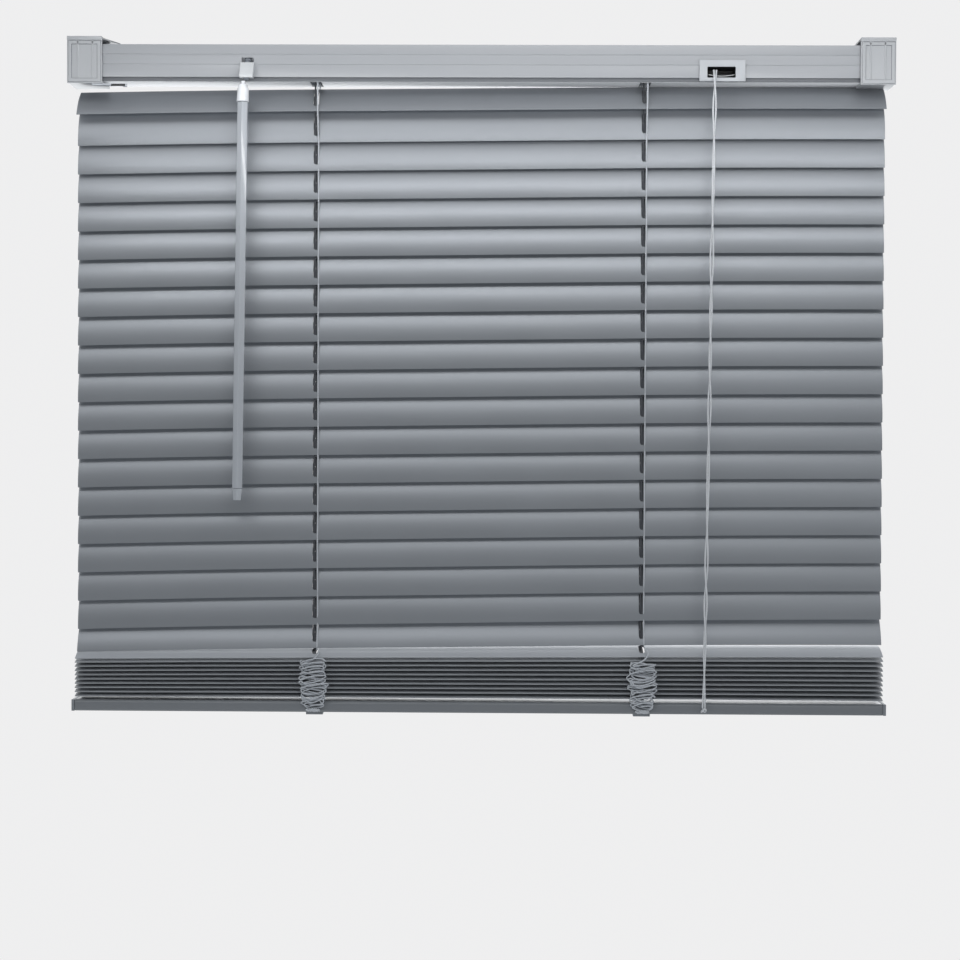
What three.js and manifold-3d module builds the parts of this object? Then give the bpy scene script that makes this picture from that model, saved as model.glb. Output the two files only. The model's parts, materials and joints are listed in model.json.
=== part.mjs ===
// A 60 cm venetian blind with 25 mm slats, closed and half raised: headrail, brackets, tilter, cord lock,
// slats on two ladders, and a bottom rail that carries the gathered slats.
// Millimetres. X runs along the blind, +Y points at the wall, +Z is up.
// The origin is the centre of the headrail's back face.
import * as THREE from "three";
import Module from "manifold-3d";
import { mergeVertices } from "three/addons/utils/BufferGeometryUtils.js";

const wasm = await Module();
wasm.setup();

// Driving dimensions
const CLEARANCE = 0.3; // gap between pieces that touch
const RAIL_LENGTH = 605;
const RAIL_DEPTH = 25;
const RAIL_HALF_HEIGHT = 13.5;
const RAIL_WALL = 1.2;
const UNDERCUT = { depth: 1.6, height: 3 };
const AXIS_Y = -12.5; // the plane of the tilt rod, the slat pivots and the lift cords
const SLAT = { length: 600, width: 25, crown: 2, thickness: 0.6, slotX: 5, slotWidth: 15.5 };
const LADDER_X = 122; // each ladder's distance from the middle
const LADDER_OFFSET = 1.6; // the ladder cords and the lift cords share the slots
const LIFT_OFFSET = -0.9;
const PITCH = 21.1;
const HANGING = 20;
const CLOSED = 76; // degrees of tilt, front edge down
const FIRST = { z: -23.7, tilt: 49 };
const SECOND_Z = -42.9;
const LAST = { lift: 2.7, tilt: 60, rungFront: -12.9 };
const STACK = { count: 10, topZ: -434.1, topTilt: 14, nextZ: -440, pitch: 3.4 };
const BOTTOM = { top: -472.2, height: 8.4, length: 600, wall: 1.2 };
const BRACKET = { inner: 279.3, outer: 305, top: 18.8, bottom: -15, back: 1.6, front: -25.2, wall: 1.2 };
const ROD_RADIUS = 2.4;
const DRUM = { radius: 9.8, width: 8 };
const CORD_LOCK = { left: 161, right: 195, top: 2.7, bottom: -13.2 };
const WINDOW = { left: 167, right: 187.6, top: -2.5, bottom: -11.7 };
const TILTER_X = -172;
const WORM = { footY: -31, footZ: -13, slope: 58, length: 26, radius: 2.2 };
const GEAR = { radius: 5.6, teeth: 14, width: 6 };
const WAND = { topZ: -14.6, jointZ: -30, length: 284, tip: 9, radius: 4.3, lean: 0.7, x: -174.4, y: -31 };
const CORD = { lift: 1.2, pull: 2.6, ladder: 0.8 };

const rad = THREE.MathUtils.degToRad;
const blind = new THREE.Group();

const COLOURS = {
  rail: [0xb4b8bd, 0.35, 0.1],
  slat: [0x9aa1aa, 0.35, 0.15],
  steel: [0xa8acb0, 0.35, 0.8],
  zinc: [0xc8cacd, 0.4, 0.7],
  white: [0xe8e8e6, 0.45, 0],
  grey: [0x8d9298, 0.45, 0],
  wand: [0xc9ccd0, 0.2, 0],
  cord: [0xb9bec5, 0.85, 0],
  dark: [0x2c2e31, 0.5, 0],
};

function add(name, geometry, look) {
  const [color, roughness, metalness] = COLOURS[look];
  const material = new THREE.MeshStandardMaterial({ color, roughness, metalness });
  const mesh = new THREE.Mesh(geometry, material);
  mesh.name = name;
  blind.add(mesh);
  return mesh;
}

// Solids: manifold-3d joins and cuts the three.js geometries.
function solid(geometry) {
  const bare = geometry.clone();
  bare.deleteAttribute("normal");
  bare.deleteAttribute("uv");
  const merged = mergeVertices(bare, 1e-4);
  const vertProperties = new Float32Array(merged.attributes.position.array);
  const triVerts = new Uint32Array(merged.index.array);
  return new wasm.Manifold(new wasm.Mesh({ numProp: 3, vertProperties, triVerts }));
}

function toGeometry(manifold) {
  const mesh = manifold.getMesh();
  const geometry = new THREE.BufferGeometry();
  geometry.setAttribute("position", new THREE.BufferAttribute(new Float32Array(mesh.vertProperties), 3));
  geometry.setIndex(new THREE.BufferAttribute(new Uint32Array(mesh.triVerts), 1));
  geometry.computeVertexNormals();
  return geometry;
}

function join(geometries) {
  return toGeometry(geometries.map(solid).reduce((sum, next) => sum.add(next)));
}

function cut(geometry, tools) {
  return toGeometry(tools.map(solid).reduce((rest, tool) => rest.subtract(tool), solid(geometry)));
}

function box(x0, x1, y0, y1, z0, z1) {
  const geometry = new THREE.BoxGeometry(x1 - x0, y1 - y0, z1 - z0);
  return geometry.translate((x0 + x1) / 2, (y0 + y1) / 2, (z0 + z1) / 2);
}

// A (y, z) outline, with holes, extruded from x0 to x1.
function prism(outline, x0, x1, holes = []) {
  const shape = new THREE.Shape(outline.map(([y, z]) => new THREE.Vector2(y, z)));
  for (const hole of holes) {
    shape.holes.push(new THREE.Path(hole.map(([y, z]) => new THREE.Vector2(y, z))));
  }
  const geometry = new THREE.ExtrudeGeometry(shape, { depth: x1 - x0, bevelEnabled: false });
  const turn = new THREE.Matrix4().set(0, 0, 1, x0, 1, 0, 0, 0, 0, 1, 0, 0, 0, 0, 0, 1);
  return geometry.applyMatrix4(turn);
}

// A cylinder along X.
function barX(radius, x0, x1, y, z, sides = 20) {
  const geometry = new THREE.CylinderGeometry(radius, radius, x1 - x0, sides);
  return geometry.rotateZ(-Math.PI / 2).translate((x0 + x1) / 2, y, z);
}

function tube(points, radius, steps, sides = 8) {
  const section = new THREE.Shape();
  for (let i = 0; i < sides; i += 1) {
    const angle = (i / sides) * 2 * Math.PI;
    const corner = [radius * Math.cos(angle), radius * Math.sin(angle)];
    if (i === 0) section.moveTo(...corner);
    else section.lineTo(...corner);
  }
  const path = new THREE.CatmullRomCurve3(points.map((p) => new THREE.Vector3(...p)));
  return new THREE.ExtrudeGeometry(section, { steps, extrudePath: path, bevelEnabled: false });
}

const SIDES = [["left", -1], ["right", 1]];

// Headrail: a U channel with lips along its open top, two fine grooves and an undercut on the front.
function headrail() {
  const front = -RAIL_DEPTH;
  const h = RAIL_HALF_HEIGHT;
  const t = RAIL_WALL;
  const step = front + UNDERCUT.depth;
  const stepZ = -h + UNDERCUT.height;
  const groove = (z) => [[front, z + 0.5], [front + 0.4, z], [front, z - 0.5]];
  const outline = [
    [front + 2.5, h], [front, h], ...groove(6.1), ...groove(-1.3), [front, stepZ], [step, stepZ],
    [step, -h], [0, -h], [0, h], [-2.5, h], [-2.5, h - t], [-t, h - t], [-t, -h + t],
    [step + t, -h + t], [step + t, stepZ + t], [front + t, stepZ + t], [front + t, h - t],
    [front + 2.5, h - t],
  ];
  const half = RAIL_LENGTH / 2;
  const cuts = [
    box(CORD_LOCK.left + 1, CORD_LOCK.right - 1, -26, -21, WINDOW.bottom - 0.6, 1.8),
    box(TILTER_X - 4.4, TILTER_X + 4.4, -26, -21, -11.5, 3.8),
  ];
  for (const [, side] of SIDES) {
    const x = side * LADDER_X;
    cuts.push(box(x - 4.2, x + 4.2, -22, -1.6, -h - 1, -h + t + 0.5));
  }
  return cut(prism(outline, -half, half), cuts);
}
add("headrail_channel", headrail(), "rail");

// Brackets: an open box round each end of the headrail, with a hinged door in front.
function bracket() {
  const b = BRACKET;
  const frame = box(b.inner, b.outer, b.front, b.back, b.bottom, b.top);
  const [floor, roof] = [b.bottom + b.wall, b.top - b.wall];
  const room = box(b.inner - 1, b.outer - b.wall, b.front - 1, b.back - b.wall, floor, roof);
  return cut(frame, [room]);
}

function bracketDoor() {
  const b = BRACKET;
  const y = b.front - 0.4;
  const plate = box(b.inner, b.outer, y - 2.2, y, b.bottom - 0.6, b.top);
  const rib = (x) => box(x - 0.6, x + 0.6, y - 2.7, y - 2, b.bottom + 3, b.top - 3);
  const ribs = [rib(b.inner + 7), rib(b.outer - 8)];
  const lip = box(b.inner, b.outer, y - 3, y - 2, b.top - 3, b.top);
  return join([plate, lip, ...ribs]);
}

function mirrorX(geometry) {
  const copy = toGeometry(solid(geometry));
  copy.scale(-1, 1, 1);
  const index = copy.index.array;
  for (let i = 0; i < index.length; i += 3) {
    [index[i], index[i + 1]] = [index[i + 1], index[i]];
  }
  copy.computeVertexNormals();
  return copy;
}
const rightBracket = bracket();
const rightDoor = bracketDoor();
add("bracket_right", rightBracket, "zinc");
add("bracket_left", mirrorX(rightBracket), "zinc");
add("bracket_door_right", rightDoor, "zinc");
add("bracket_door_left", mirrorX(rightDoor), "zinc");

// Locking tongue: slides under the left bracket's door.
const tongueTop = BRACKET.bottom - 0.6 - CLEARANCE;
const tongue = box(-287, -261, -27.6, -24.5, tongueTop - 1.2, tongueTop);
const tongueGrip = box(-264, -261, -27.6, -24.5, tongueTop - 2.2, tongueTop - 1);
add("bracket_latch_left", join([tongue, tongueGrip]), "white");

// Cord lock: a cup set into the headrail's front, with a bezel, a window and a locking roller.
function cordLock() {
  const front = -RAIL_DEPTH - CLEARANCE;
  const bezel = box(CORD_LOCK.left, CORD_LOCK.right, front - 1.2, front, CORD_LOCK.bottom, CORD_LOCK.top);
  const cup = box(CORD_LOCK.left + 1.4, CORD_LOCK.right - 1.4, front - 0.6, -8, WINDOW.bottom - 0.25, 1.4);
  const mouth = box(WINDOW.left, WINDOW.right, front - 2, -9.5, WINDOW.bottom + 1.3, WINDOW.top);
  return cut(join([bezel, cup]), [mouth]);
}
add("cord_lock_body", cordLock(), "white");
add("cord_lock_roller", barX(1.5, WINDOW.left + 0.6, WINDOW.right - 0.6, -22.2, -8.4), "grey");

// Tilt mechanism: rod, a ladder drum over each ladder on its cradle, gear, worm and housing.
add("tilt_rod", barX(ROD_RADIUS, -186, LADDER_X + 12, AXIS_Y, 0, 12), "steel");

function drum(x) {
  const half = DRUM.width / 2;
  const bore = ROD_RADIUS + CLEARANCE;
  const profile = [
    [bore, -half], [DRUM.radius, -half], [DRUM.radius, -half + 1.4], [DRUM.radius - 1.5, -half + 2.4],
    [DRUM.radius - 1.5, half - 2.4], [DRUM.radius, half - 1.4], [DRUM.radius, half], [bore, half],
    [bore, -half],
  ];
  const ring = new THREE.LatheGeometry(profile.map(([r, w]) => new THREE.Vector2(r, w)), 24);
  return ring.rotateZ(-Math.PI / 2).translate(x, AXIS_Y, 0);
}

function cradle(x) {
  const floor = -RAIL_HALF_HEIGHT + RAIL_WALL + CLEARANCE;
  const base = box(x - 7, x + 7, -22.2, -1.8, floor, floor + 1.1);
  const walls = [-6.2, 6.2].map((dx) => box(x + dx - 0.6, x + dx + 0.6, -19, -6, floor, 6));
  const slots = [
    box(x - 4.2, x + 4.2, -21.6, -2.4, floor - 1, floor + 2),
    barX(ROD_RADIUS + CLEARANCE, x - 8, x + 8, AXIS_Y, 0, 12),
  ];
  return cut(join([base, ...walls]), slots);
}
for (const [name, side] of SIDES) {
  add(`ladder_drum_${name}`, drum(side * LADDER_X), "white");
  add(`drum_cradle_${name}`, cradle(side * LADDER_X), "grey");
}

function gear() {
  const outline = [];
  for (let i = 0; i < GEAR.teeth; i += 1) {
    for (const [part, r] of [[0, -0.9], [0.25, 0], [0.5, 0], [0.75, -0.9]]) {
      const angle = ((i + part) / GEAR.teeth) * 2 * Math.PI;
      const radius = GEAR.radius + r;
      outline.push([AXIS_Y + radius * Math.cos(angle), radius * Math.sin(angle)]);
    }
  }
  const half = GEAR.width / 2;
  const bore = barX(ROD_RADIUS + CLEARANCE, TILTER_X - half - 1, TILTER_X + half + 1, AXIS_Y, 0, 12);
  return cut(prism(outline, TILTER_X - half, TILTER_X + half), [bore]);
}
add("tilter_gear", gear(), "white");

// The worm's axis rises from its foot, outside, through the headrail's front to the gear.
// Cylinders are made along Y, then turned so that +Y follows the worm's axis.
function wormCylinder(radius, from, to, sides = 12) {
  const geometry = new THREE.CylinderGeometry(radius, radius, to - from, sides);
  geometry.translate(0, (from + to) / 2, 0);
  geometry.rotateX(rad(WORM.slope));
  return geometry.translate(TILTER_X, WORM.footY, WORM.footZ);
}

function worm() {
  const parts = [wormCylinder(1.9, 0, WORM.length)];
  for (let turn = 14; turn < 23; turn += 2.4) parts.push(wormCylinder(WORM.radius + 0.5, turn, turn + 1.2));
  return join(parts);
}
add("tilter_worm", worm(), "grey");

function tilterHousing() {
  const floor = -RAIL_HALF_HEIGHT + RAIL_WALL + CLEARANCE;
  const base = box(TILTER_X - 11, TILTER_X + 11, -21, -2, floor, floor + 1.1);
  const wall = (x) => box(x - 0.7, x + 0.7, -21, -2, floor, 11.8);
  const walls = [wall(TILTER_X - 10.2), wall(TILTER_X + 10.2)];
  const bore = barX(ROD_RADIUS + CLEARANCE, TILTER_X - 13, TILTER_X + 13, AXIS_Y, 0, 12);
  return cut(join([base, ...walls]), [bore]);
}
add("tilter_housing", tilterHousing(), "white");

function wandSleeve() {
  const front = -RAIL_DEPTH - CLEARANCE;
  const outline = [[front, 0], [front - 1.6, 0], [-34.6, -10.4], [-34.6, -12.4], [-29.4, -12.4], [front, -9.2]];
  return cut(prism(outline, TILTER_X - 5, TILTER_X + 5), [wormCylinder(2.6, -3, WORM.length)]);
}
add("wand_sleeve", wandSleeve(), "grey");

// Wand: a connector under the worm's foot, a six-sided rod and a clear tip, leaning a little outwards.
function wandPiece(topRadius, footRadius, top, foot, sides) {
  const cone = new THREE.CylinderGeometry(topRadius, footRadius, top - foot, sides);
  cone.rotateX(Math.PI / 2).translate(0, 0, (top + foot) / 2 - WAND.topZ);
  return cone.rotateY(rad(WAND.lean)).translate(WAND.x, WAND.y, WAND.topZ);
}
const wandFoot = WAND.jointZ - WAND.length;
const neck = wandPiece(1.5, 1.7, WAND.topZ, WAND.topZ - 6, 12);
const cup = wandPiece(4.2, 4.6, WAND.topZ - 5.4, WAND.jointZ + CLEARANCE, 16);
add("wand_connector", join([neck, cup]), "white");
add("tilt_wand", wandPiece(WAND.radius, WAND.radius, WAND.jointZ, wandFoot, 6), "wand");
add("wand_tip", wandPiece(WAND.radius - 0.3, WAND.radius - 1, wandFoot - CLEARANCE, wandFoot - WAND.tip, 6), "wand");

// Slats: a shallow arc, convex upwards when open, with a slot over each ladder.
function slatGeometry() {
  const { width, crown, thickness, length } = SLAT;
  const half = width / 2;
  const steps = 8;
  const arc = (side) => Array.from({ length: steps + 1 }, (_, i) => {
    const y = half * (1 - (2 * i) / steps);
    return [y, -crown * (y / half) ** 2 + side * thickness / 2];
  });
  const outline = [...arc(1), ...arc(-1).reverse()];
  const slots = SIDES.map(([, side]) => {
    const x = side * LADDER_X;
    const w = SLAT.slotWidth / 2;
    return box(x - SLAT.slotX / 2, x + SLAT.slotX / 2, -w, w, -3, 2);
  });
  return cut(prism(outline, -length / 2, length / 2), slots);
}
const slat = slatGeometry();

function addSlat(name, z, tilt) {
  const mesh = add(name, slat.clone(), "slat");
  mesh.position.set(0, AXIS_Y, z);
  mesh.rotation.x = rad(tilt);
}

function hangingSlat(number) {
  if (number === 1) return { z: FIRST.z, tilt: FIRST.tilt };
  const z = SECOND_Z - PITCH * (number - 2);
  return number === HANGING ? { z: z + LAST.lift, tilt: LAST.tilt } : { z, tilt: CLOSED };
}

for (let number = 1; number <= HANGING; number += 1) {
  const { z, tilt } = hangingSlat(number);
  addSlat(`slat_${String(number).padStart(2, "0")}`, z, tilt);
}
for (let number = 1; number <= STACK.count; number += 1) {
  const top = number === 1;
  const z = top ? STACK.topZ : STACK.nextZ - STACK.pitch * (number - 2);
  addSlat(`stack_slat_${String(number).padStart(2, "0")}`, z, top ? STACK.topTilt : 0);
}

// A point of a hanging slat's section: u across the slat, w above its crown, given as (y, z).
function onSlat(number, u, w) {
  const { z, tilt } = hangingSlat(number);
  const c = Math.cos(rad(tilt));
  const s = Math.sin(rad(tilt));
  return [AXIS_Y + u * c - w * s, z + u * s + w * c];
}

// The gathered ladder cord in front of the stack, as one plain lump.
function slackLump(x) {
  const section = new THREE.Shape();
  section.moveTo(x - 9, -480);
  section.lineTo(x + 9, -480);
  section.lineTo(x + 11, -460);
  section.lineTo(x + 10.5, -442.5);
  section.lineTo(x - 10.5, -442.5);
  section.lineTo(x - 11, -460);
  const lump = new THREE.ExtrudeGeometry(section, { depth: 6, bevelEnabled: false });
  return lump.rotateX(Math.PI / 2).translate(0, -25.6, 0);
}

// Ladders: a front cord, a back cord, and a rung under each hanging slat.
function cordBand(route, x, half) {
  const shifted = (dy) => route.map(([y, z]) => [y + dy, z]);
  return prism([...shifted(-half), ...shifted(half).reverse()], x - half, x + half);
}

// Its slack below the last hanging slat is gathered in front of the stack.
function ladder(middle) {
  const x = middle + LADDER_OFFSET;
  const half = CORD.ladder / 2;
  const thick = half * 0.8;
  const edge = SLAT.width / 2;
  const rungW = -SLAT.crown - SLAT.thickness / 2 - 2 * CLEARANCE - half;
  const front = [[-20.8, -11.5]];
  const back = [[-2.6, -12.2]];
  const rungs = [];
  const bar = ([y0, z0], [y1, z1]) => {
    const length = Math.hypot(y1 - y0, z1 - z0);
    const [ey, ez] = [((y1 - y0) / length) * thick, ((z1 - z0) / length) * thick];
    const outline = [
      [y0 - ey + ez, z0 - ez - ey], [y1 + ey + ez, z1 + ez - ey],
      [y1 + ey - ez, z1 + ez + ey], [y0 - ey - ez, z0 - ez + ey],
    ];
    return prism(outline, x - thick, x + thick);
  };
  const link = (y, [endY, z]) => {
    const [low, high] = [Math.min(y, endY), Math.max(y, endY)];
    return box(x - thick, x + thick, low, high + 0.05, z - thick * 0.9, z + thick * 0.9);
  };
  for (let number = 1; number <= HANGING; number += 1) {
    const low = onSlat(number, number === HANGING ? LAST.rungFront : -edge - 1.2, rungW);
    const high = onSlat(number, edge + 0.8, rungW);
    const [frontY] = onSlat(number, -edge, -SLAT.crown);
    const [backY, backZ] = onSlat(number, edge, -SLAT.crown);
    front.push([frontY - 1.1, low[1]]);
    back.push([backY + 1.1, backZ]);
    rungs.push(bar(low, high), link(frontY - 1.1, low), link(backY + 1.1, high));
  }
  front.push([-26.6, -437.2], [-27.6, -445]);
  return join([cordBand(front, x, half), cordBand(back, x, half), ...rungs, slackLump(middle)]);
}

for (const [name, side] of SIDES) {
  const x = side * LADDER_X;
  const cordTop = -11.8;
  const rope = new THREE.CylinderGeometry(CORD.lift / 2, CORD.lift / 2, cordTop - BOTTOM.top - CLEARANCE, 8);
  rope.rotateX(Math.PI / 2).translate(x + LIFT_OFFSET, AXIS_Y, (cordTop + BOTTOM.top + CLEARANCE) / 2);
  add(`lift_cord_${name}`, rope, "cord");
  add(`ladder_${name}`, ladder(x), "cord");
}

// Pull cord: out of the lock's window, over the bezel's lower edge, and down to its knot.
const PULL_ROUTE = [
  [172.6, -24.4, -5], [172.5, -26.6, -5.2], [172.3, -29, -7], [172.1, -30.4, -12], [172, -30.8, -20],
  [171.8, -30.9, -40], [171.3, -30.9, -90], [170.7, -30.9, -140], [170.2, -30.9, -190], [169.8, -30.9, -240],
  [169.2, -31, -290], [168.6, -31.1, -340], [168, -31.2, -390], [167.5, -31.2, -430], [167.2, -31.2, -455],
  [167, -31.2, -476],
];
const knot = new THREE.SphereGeometry(2.4, 12, 8).translate(167, -31.2, -476.4);
add("pull_cord", join([tube(PULL_ROUTE, CORD.pull / 2, 44), knot]), "cord");

// Bottom rail: a hollow bar with an end cap at each end and a cord plug under each ladder.
function bottomRail() {
  const half = BOTTOM.length / 2;
  const [top, floor, wall] = [BOTTOM.top, BOTTOM.top - BOTTOM.height, BOTTOM.wall];
  const chamfer = 1.6;
  const outline = [
    [-RAIL_DEPTH, floor + chamfer], [-RAIL_DEPTH + chamfer, floor], [-chamfer, floor], [0, floor + chamfer],
    [0, top - chamfer], [-chamfer, top], [-RAIL_DEPTH + chamfer, top], [-RAIL_DEPTH, top - chamfer],
  ];
  const hollow = [
    [-RAIL_DEPTH + wall, floor + wall + 1], [-RAIL_DEPTH + wall + 1, floor + wall], [-wall - 1, floor + wall],
    [-wall, floor + wall + 1], [-wall, top - wall - 1], [-wall - 1, top - wall],
    [-RAIL_DEPTH + wall + 1, top - wall], [-RAIL_DEPTH + wall, top - wall - 1],
  ];
  const holes = SIDES.map(([, side]) => {
    const x = side * LADDER_X;
    return box(x - 4.3, x + 4.3, AXIS_Y - 3.3, AXIS_Y + 3.3, floor - 1, floor + wall + 0.4);
  });
  return cut(prism(outline, -half, half, [hollow]), holes);
}
add("bottom_rail", bottomRail(), "rail");

function railCap() {
  const [top, floor, wall] = [BOTTOM.top, BOTTOM.top - BOTTOM.height, BOTTOM.wall];
  const end = BOTTOM.length / 2;
  const inset = wall + 1.3;
  const plate = box(end + CLEARANCE, end + 2.5, -RAIL_DEPTH, 0, floor, top);
  const spigot = box(end - 8, end + 1, -RAIL_DEPTH + inset, -inset, floor + inset, top - inset);
  const nub = box(end + 2, end + 4, -RAIL_DEPTH + 9, -9, floor + 2.5, top - 2.5);
  return join([plate, spigot, nub]);
}
const rightCap = railCap();
add("rail_cap_right", rightCap, "grey");
add("rail_cap_left", mirrorX(rightCap), "grey");

function railPlug(x) {
  const floor = BOTTOM.top - BOTTOM.height;
  const [top, foot] = [floor - CLEARANCE, floor - 2.6];
  const button = prism([[-19, top], [-18, foot], [-7, foot], [-6, top]], x - 6.3, x + 6.3);
  const stem = box(x - 4, x + 4, AXIS_Y - 3, AXIS_Y + 3, floor - 0.6, floor + 4);
  return join([button, stem]);
}
for (const [name, side] of SIDES) add(`rail_plug_${name}`, railPlug(side * LADDER_X), "grey");

export default blind;
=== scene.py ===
import json
import math
import random

import bpy
import bmesh
from mathutils import Matrix, Vector, noise


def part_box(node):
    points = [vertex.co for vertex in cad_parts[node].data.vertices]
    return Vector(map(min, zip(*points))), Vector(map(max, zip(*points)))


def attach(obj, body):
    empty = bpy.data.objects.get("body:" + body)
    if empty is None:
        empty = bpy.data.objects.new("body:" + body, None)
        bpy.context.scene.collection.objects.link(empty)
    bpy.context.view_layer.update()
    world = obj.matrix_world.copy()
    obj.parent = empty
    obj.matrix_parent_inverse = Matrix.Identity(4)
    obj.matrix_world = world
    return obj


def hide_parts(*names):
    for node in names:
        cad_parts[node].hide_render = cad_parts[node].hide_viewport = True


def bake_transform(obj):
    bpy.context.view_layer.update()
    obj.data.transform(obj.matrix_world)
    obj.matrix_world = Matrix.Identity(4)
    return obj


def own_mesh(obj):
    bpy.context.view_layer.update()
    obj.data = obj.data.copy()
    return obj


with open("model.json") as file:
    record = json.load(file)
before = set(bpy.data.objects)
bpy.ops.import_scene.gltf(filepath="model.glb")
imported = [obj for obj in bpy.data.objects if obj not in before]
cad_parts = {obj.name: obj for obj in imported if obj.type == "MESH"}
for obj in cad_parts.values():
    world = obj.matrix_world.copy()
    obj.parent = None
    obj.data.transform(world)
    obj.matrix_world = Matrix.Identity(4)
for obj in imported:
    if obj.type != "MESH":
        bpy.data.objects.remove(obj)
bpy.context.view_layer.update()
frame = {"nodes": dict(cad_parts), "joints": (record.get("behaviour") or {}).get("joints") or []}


# ---- Camera ---------------------------------------------------------------------------------------
# The blind is seen square on from the room, from a little under the middle of its height, through a
# long lens turned and leaned by small angles.
CAMERA_PLACE = (0.0204, -1.4749, -0.2751)
TURN_LEFT, LOOK_DOWN, LEAN = math.radians(0.766), math.radians(1.272), math.radians(0.26)
LENS_MM, SENSOR_MM = 73.45, 36
camera_data = bpy.data.cameras.new("camera")
camera_data.lens = LENS_MM
camera_data.sensor_width = SENSOR_MM
camera = bpy.data.objects.new("camera", camera_data)
bpy.context.scene.collection.objects.link(camera)
aim = Matrix.Rotation(TURN_LEFT, 4, "Z") @ Matrix.Rotation(math.pi / 2 - LOOK_DOWN, 4, "X")
camera.matrix_world = Matrix.Translation(CAMERA_PLACE) @ aim @ Matrix.Rotation(LEAN, 4, "Z")
bpy.context.scene.camera = camera


# ---- Pull cord ------------------------------------------------------------------------------------
# Two braided polyester strands, loosely twisted round each other. They leave the cord lock's window
# over its lower edge, hang in front of the slats, and end together in a small overhand knot.
STRAND_RADIUS, TWIST_LENGTH = 0.00062, 0.088
KNOT_RADIUS, KNOT_STRAND = 0.0016, 0.00068
PULL_ROUTE = [
    (0.1726, -0.0244, -0.0050), (0.1725, -0.0266, -0.0052), (0.1723, -0.0290, -0.0070),
    (0.1721, -0.0304, -0.0120), (0.1720, -0.0308, -0.0200), (0.1718, -0.0309, -0.0400),
    (0.1713, -0.0309, -0.0900), (0.1707, -0.0309, -0.1400), (0.1702, -0.0309, -0.1900),
    (0.1698, -0.0309, -0.2400), (0.1692, -0.0310, -0.2900), (0.1686, -0.0311, -0.3400),
    (0.1680, -0.0312, -0.3900), (0.1675, -0.0312, -0.4300), (0.1672, -0.0312, -0.4550),
    (0.1670, -0.0312, -0.4760),
]


def smooth_route(points, step):
    """The points joined by one smooth curve, about step apart."""
    points = [Vector(point) for point in points]
    stops = [2 * points[0] - points[1], *points, 2 * points[-1] - points[-2]]
    route = []
    for before, start, end, after in zip(stops, stops[1:], stops[2:], stops[3:]):
        count = max(1, round((end - start).length / step))
        for index in range(count):
            part = index / count
            heading = end - before
            bend = 2 * before - 5 * start + 4 * end - after
            sway = 3 * start - before - 3 * end + after
            route.append(start + 0.5 * part * (heading + part * (bend + part * sway)))
    return route + [stops[-2]]


def join_rings(bm, first, second):
    """A band of four-sided faces between two rings of the same number of points."""
    for index in range(len(first)):
        beside = (index + 1) % len(first)
        bm.faces.new((first[index], first[beside], second[beside], second[index]))


def lay_cord(bm, route, radius, sides=8):
    """A closed round cord along the route, its rings kept square to it without twisting."""
    side = None
    rings = []
    last = len(route) - 1
    turns = [2 * math.pi * index / sides for index in range(sides)]
    for index, point in enumerate(route):
        along = (route[min(index + 1, last)] - route[max(index - 1, 0)]).normalized()
        if side is None:
            side = along.orthogonal().normalized()
        side = (side - along * side.dot(along)).normalized()
        across = along.cross(side)
        reach = radius * (0.6 if index in (0, last) else 1)
        rings.append([bm.verts.new(point + reach * (math.cos(turn) * side + math.sin(turn) * across))
                      for turn in turns])
    for lower, upper in zip(rings, rings[1:]):
        join_rings(bm, lower, upper)
    bm.faces.new(list(reversed(rings[0])))
    bm.faces.new(rings[-1])


def finish_piece(name, bm, material, smooth=True):
    """The piece as an object in the scene, with its faces turned outwards."""
    bmesh.ops.recalc_face_normals(bm, faces=bm.faces)
    for face in bm.faces:
        face.smooth = smooth
    mesh = bpy.data.meshes.new(name)
    bm.to_mesh(mesh)
    bm.free()
    mesh.materials.append(material)
    piece = bpy.data.objects.new(name, mesh)
    bpy.context.scene.collection.objects.link(piece)
    return piece


def new_material(name, colour, roughness, metallic=0.0):
    """A Principled material, its shader and its Material Output, ready for more nodes."""
    material = bpy.data.materials.new(name)
    material.use_nodes = True
    shader = material.node_tree.nodes["Principled BSDF"]
    shader.inputs["Base Color"].default_value = (*colour, 1)
    shader.inputs["Roughness"].default_value = roughness
    shader.inputs["Metallic"].default_value = metallic
    return material, material.node_tree, shader


def node(tree, kind, **values):
    """A node of a material or group, with its properties set."""
    made = tree.nodes.new(kind)
    for key, value in values.items():
        setattr(made, key, value)
    return made


def new_group(name, inputs, outputs):
    """An empty shader node group with named sockets: {name: (socket type, default)}."""
    group = bpy.data.node_groups.new(name, "ShaderNodeTree")
    for label, (kind, default) in inputs.items():
        socket = group.interface.new_socket(label, in_out="INPUT", socket_type="NodeSocket" + kind)
        socket.default_value = default
    for label, kind in outputs.items():
        group.interface.new_socket(label, in_out="OUTPUT", socket_type="NodeSocket" + kind)
    return group, node(group, "NodeGroupInput"), node(group, "NodeGroupOutput")


def place_group(tree, group, **values):
    """The group in a material, with that material's own values."""
    placed = node(tree, "ShaderNodeGroup", node_tree=group)
    for label, value in values.items():
        placed.inputs[label.replace("_", " ")].default_value = value
    return placed


def mixed_colour(tree, factor, dark, light):
    """A colour between two others, by a factor from another socket."""
    mix = node(tree, "ShaderNodeMix", data_type="RGBA")
    for value, socket in ((factor, 0), (dark, 6), (light, 7)):
        if isinstance(value, bpy.types.NodeSocket):
            tree.links.new(value, mix.inputs[socket])
        else:
            mix.inputs[socket].default_value = value
    return mix.outputs[2]


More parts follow.
